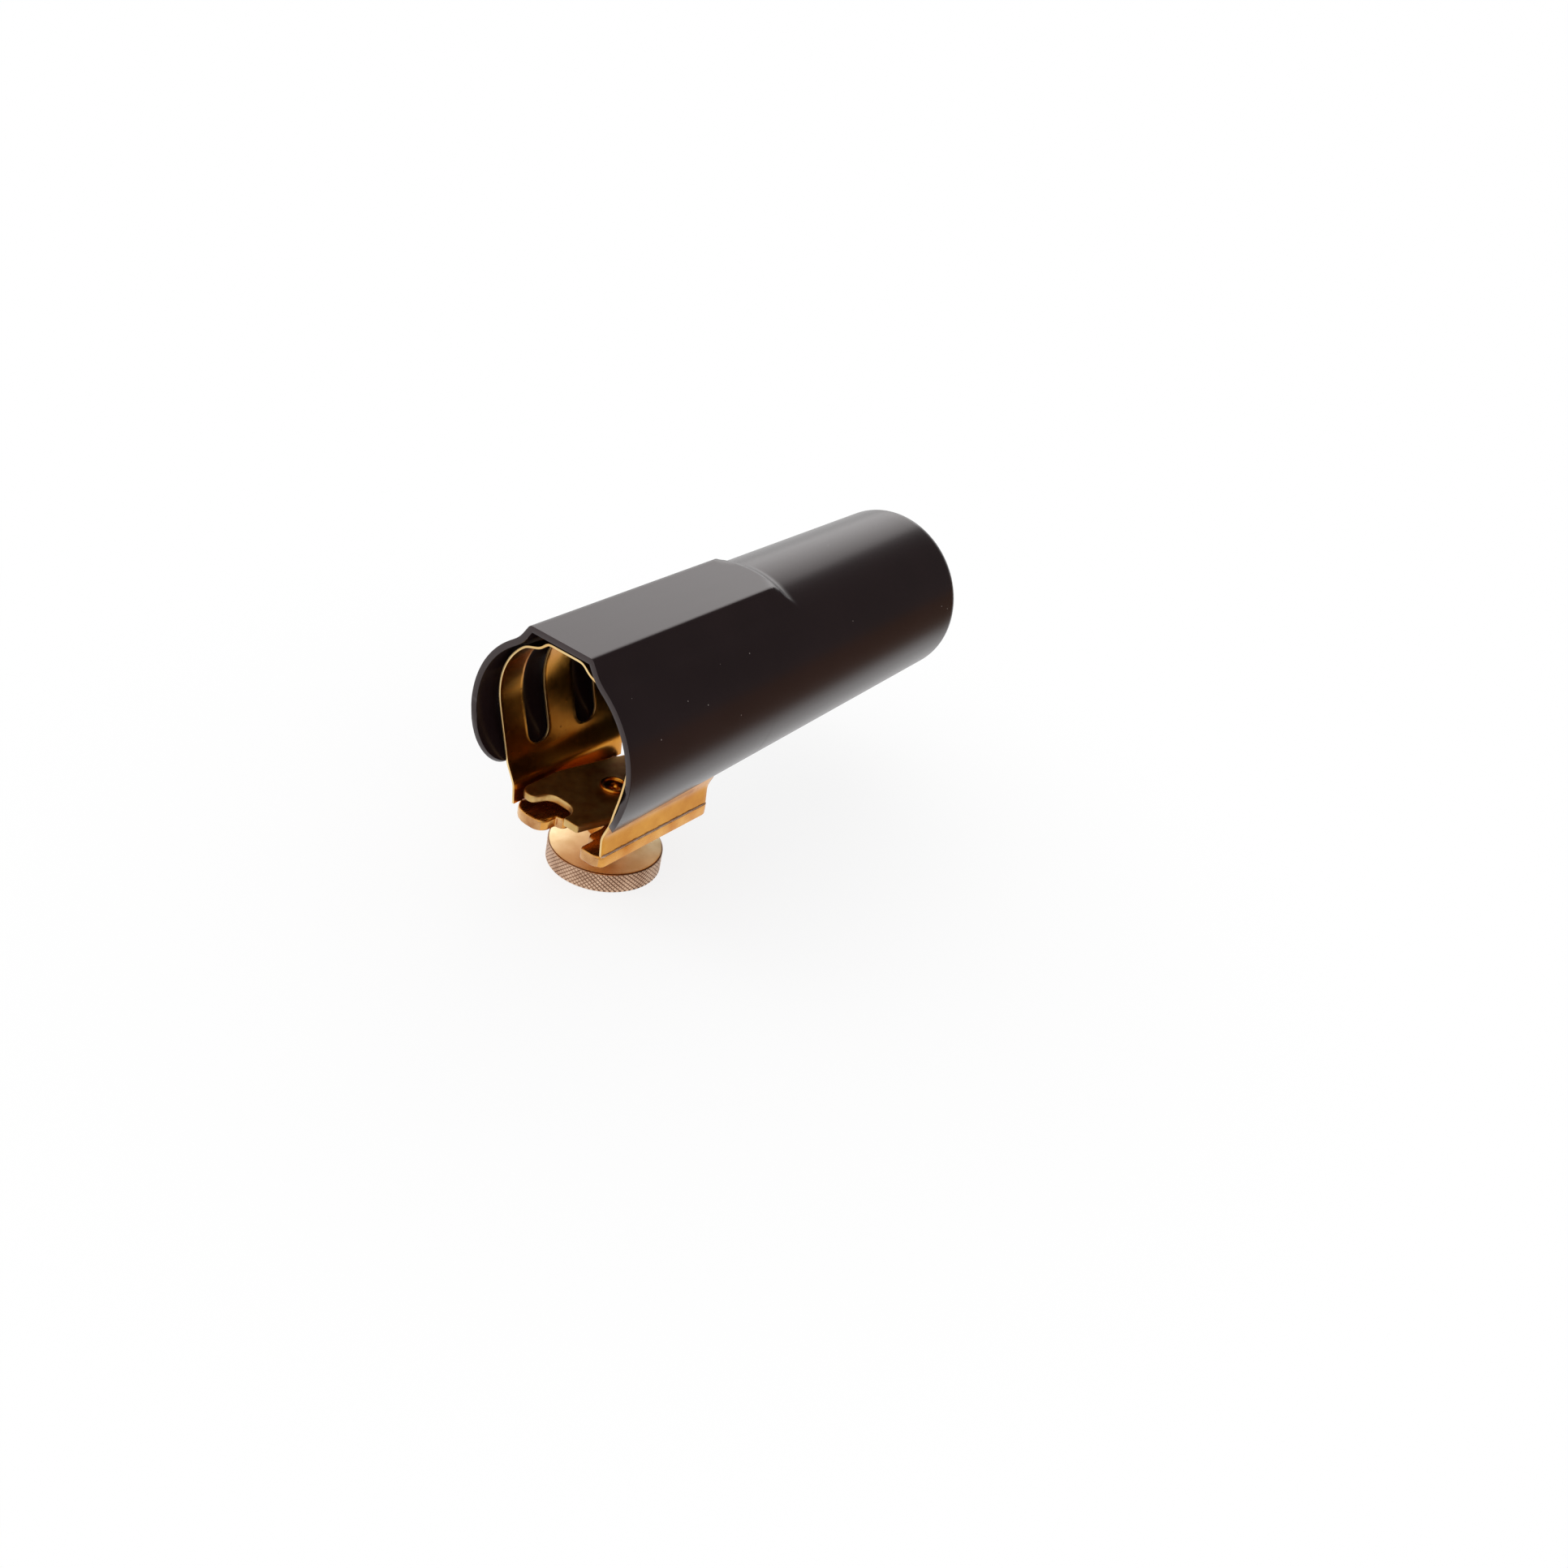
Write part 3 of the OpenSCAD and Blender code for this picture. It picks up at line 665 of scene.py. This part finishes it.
def moulded_plastic(name, colour_a, colour_b, rough):
    """Black moulded plastic: smooth with a faint grain, hairline rubs along it, and specks of dust."""
    made, tree, out, place = new_material(name)
    cloud = add_node(tree, "ShaderNodeTexNoise", {"Vector": place, "Scale": per_mm(9.0), "Detail": 5.0})
    grain = add_node(tree, "ShaderNodeTexNoise", {"Vector": place, "Scale": per_mm(0.35), "Detail": 2.0})
    stretch = add_node(tree, "ShaderNodeMapping", {"Vector": place, "Scale": (1.0, 0.05, 1.0)})
    rub = add_node(tree, "ShaderNodeTexNoise",
                   {"Vector": stretch.outputs[0], "Scale": per_mm(0.5), "Detail": 4.0})
    speck = add_node(tree, "ShaderNodeTexVoronoi",
                     {"Vector": place, "Scale": per_mm(3.4), "Randomness": 1.0})
    dust = add_node(tree, "ShaderNodeMapRange",
                    {"Value": speck.outputs["Distance"], "From Min": 0.024, "From Max": 0.036,
                     "To Min": 1.0, "To Max": 0.0})
    base = add_node(tree, "ShaderNodeMix",
                    {0: cloud.outputs["Fac"], 6: linear(colour_a), 7: linear(colour_b)}, data_type="RGBA")
    dusty = add_node(tree, "ShaderNodeMix",
                     {0: dust.outputs[0], 6: base.outputs[2], 7: linear("#77706b")}, data_type="RGBA")
    dull = add_node(tree, "ShaderNodeMapRange",
                    {"Value": rub.outputs["Fac"], "From Min": 0.35, "From Max": 0.75,
                     "To Min": rough, "To Max": rough + 0.02})
    bump = add_node(tree, "ShaderNodeBump", {"Height": grain.outputs["Fac"], "Strength": 0.2,
                                             "Distance": 0.005 * MM})
    shader = add_node(tree, "ShaderNodeBsdfPrincipled",
                      {"Base Color": dusty.outputs[2], "Roughness": dull.outputs[0], "IOR": 1.5,
                       "Specular Tint": linear("#fff2f0"),
                       "Normal": bump.outputs[0]})
    tree.links.new(shader.outputs[0], out.inputs["Surface"])
    return made


# Black ABS from a polished mould: satin, so that it mirrors only broad soft shapes. The cut edge of
# its mouth is a shade greyer, and duller.
satin_abs = moulded_plastic("black ABS, satin", "#1a1011", "#231718", 0.25)
edge_abs = moulded_plastic("black ABS, cut edge", "#1e1415", "#2a1e1f", 0.36)
cap = make_piece("cap_shell", cap_points.reshape(-1, 3), cap_faces, [satin_abs, edge_abs], "cap",
                 ["cap"], sharp=0)
shell = cap.modifiers.new("wall", "SOLIDIFY")
shell.thickness = CAP_WALL * MM
shell.offset = -1
shell.use_even_offset = True
shell.material_offset_rim = 1
rim_edge = cap.modifiers.new("broken edges", "BEVEL")
rim_edge.width = 0.16 * MM
rim_edge.segments = 2
rim_edge.limit_method = "ANGLE"
rim_edge.angle_limit = math.radians(50)


# -------------------------------------------------------------------- studio
# A white sweep under a light tent: the floor and the walls are white to the camera. In reflections
# the open side of the tent, behind on the right, is dark, and the floor shows a painted reflection:
# it glows white to gloss, painted dark brown where it runs out to the right.
FLOOR_Z = HEAD_LOW * MM
floor_mesh = bpy.data.meshes.new("floor")
floor_mesh.from_pydata([(-3, -3, FLOOR_Z), (3, -3, FLOOR_Z), (3, 3, FLOOR_Z), (-3, 3, FLOOR_Z)], [],
                       [(0, 1, 2, 3)])
floor = bpy.data.objects.new("floor", floor_mesh)
bpy.context.scene.collection.objects.link(floor)
paper, tree, out, place = new_material("white paper sweep, painted reflection")
reach = add_node(tree, "ShaderNodeVectorMath", {0: place}, operation="LENGTH")
far = add_node(tree, "ShaderNodeMapRange",
               {"Value": reach.outputs["Value"], "From Min": 0.05, "From Max": 0.14, "To Min": 0.8},
               interpolation_type="SMOOTHSTEP")
card = add_node(tree, "ShaderNodeBsdfDiffuse", {"Color": linear("#f8f8f8")})
glow = add_node(tree, "ShaderNodeEmission", {"Color": (1.0, 1.0, 1.0, 1.0), "Strength": 1.0})
mixed = add_node(tree, "ShaderNodeMixShader", {0: far.outputs[0], 1: card.outputs[0], 2: glow.outputs[0]})
# Painted reflection: what gloss sees of the floor glows white, painted dark brown to the right of the
# object.
rightwards = add_node(tree, "ShaderNodeVectorMath", {0: place, 1: (1.0, 0.0, 0.0)}, operation="DOT_PRODUCT")
dark_reflection_side = add_node(tree, "ShaderNodeMapRange",
                     {"Value": rightwards.outputs["Value"], "From Min": 0.022, "From Max": 0.05},
                     interpolation_type="SMOOTHSTEP")
painted_reflection_colour = add_node(tree, "ShaderNodeMix",
                {0: dark_reflection_side.outputs[0], 6: (1.0, 1.0, 1.0, 1.0), 7: linear("#7a5a40")}, data_type="RGBA")
mirrored = add_node(tree, "ShaderNodeEmission", {"Color": painted_reflection_colour.outputs[2], "Strength": 1.0})
path = add_node(tree, "ShaderNodeLightPath")
seen = add_node(tree, "ShaderNodeMixShader", {0: path.outputs["Is Glossy Ray"], 1: mixed.outputs[0],
                                              2: mirrored.outputs[0]})
tree.links.new(seen.outputs[0], out.inputs["Surface"])
floor_mesh.materials.append(paper)

world = bpy.data.worlds.new("light tent")
bpy.context.scene.world = world
world.use_nodes = True
tree = world.node_tree
tree.nodes.clear()
look = add_node(tree, "ShaderNodeTexCoord").outputs["Generated"]
towards = add_node(tree, "ShaderNodeVectorMath", {0: look, 1: (0.666, 0.5, 0.555)}, operation="DOT_PRODUCT")
tent = add_node(tree, "ShaderNodeMapRange",
                {"Value": towards.outputs["Value"], "From Min": 0.3, "From Max": 0.78,
                 "To Min": 1.0, "To Max": 0.1},
                interpolation_type="SMOOTHSTEP")
path = add_node(tree, "ShaderNodeLightPath")
soft = add_node(tree, "ShaderNodeMix", {0: path.outputs["Is Diffuse Ray"], 2: tent.outputs[0], 3: 0.88})
level = add_node(tree, "ShaderNodeMix", {0: path.outputs["Is Camera Ray"], 2: soft.outputs[0], 3: 1.0})
sky = add_node(tree, "ShaderNodeBackground", {"Color": (1.0, 1.0, 1.0, 1.0), "Strength": level.outputs[0]})
add_node(tree, "ShaderNodeOutputWorld", {"Surface": sky.outputs[0]})


def softbox(name, place, aim, size, power, mirrored):
    """A square area lamp at place that faces aim, both in metres; mirrored says if gloss shows it."""
    lamp = bpy.data.lights.new(name, "AREA")
    lamp.size = size
    lamp.energy = power
    made = bpy.data.objects.new(name, lamp)
    bpy.context.scene.collection.objects.link(made)
    back = np.array(place, float) - aim
    back /= np.linalg.norm(back)
    side = np.cross((0, 0, 1), back)
    side /= np.linalg.norm(side)
    up = np.cross(back, side)
    turn = np.eye(4)
    turn[:3, 0], turn[:3, 1], turn[:3, 2], turn[:3, 3] = side, up, back, place
    made.matrix_world = Matrix(turn.tolist())
    made.visible_glossy = mirrored


softbox("softbox behind", (-0.46, 0.72, 0.42), (0, 0.02, 0), 0.62, 1.25, True)
softbox("softbox left", (-0.5, -0.25, 0.35), (0, 0, 0), 0.45, 0.8, False)

camera_data = bpy.data.cameras.new("camera")
camera_data.lens = 39.55
camera_data.sensor_width = 36.0
camera_data.clip_start = 0.005
camera = bpy.data.objects.new("camera", camera_data)
bpy.context.scene.collection.objects.link(camera)
camera.matrix_world = Matrix((
    (0.78282113, -0.43766157, 0.44231598, 0.141122),
    (0.59588576, 0.32256828, -0.73543856, -0.183888),
    (0.17919609, 0.83928664, 0.51330956, 0.128646),
    (0.0, 0.0, 0.0, 1.0)))
bpy.context.scene.camera = camera
bpy.context.scene.view_settings.view_transform = "Standard"
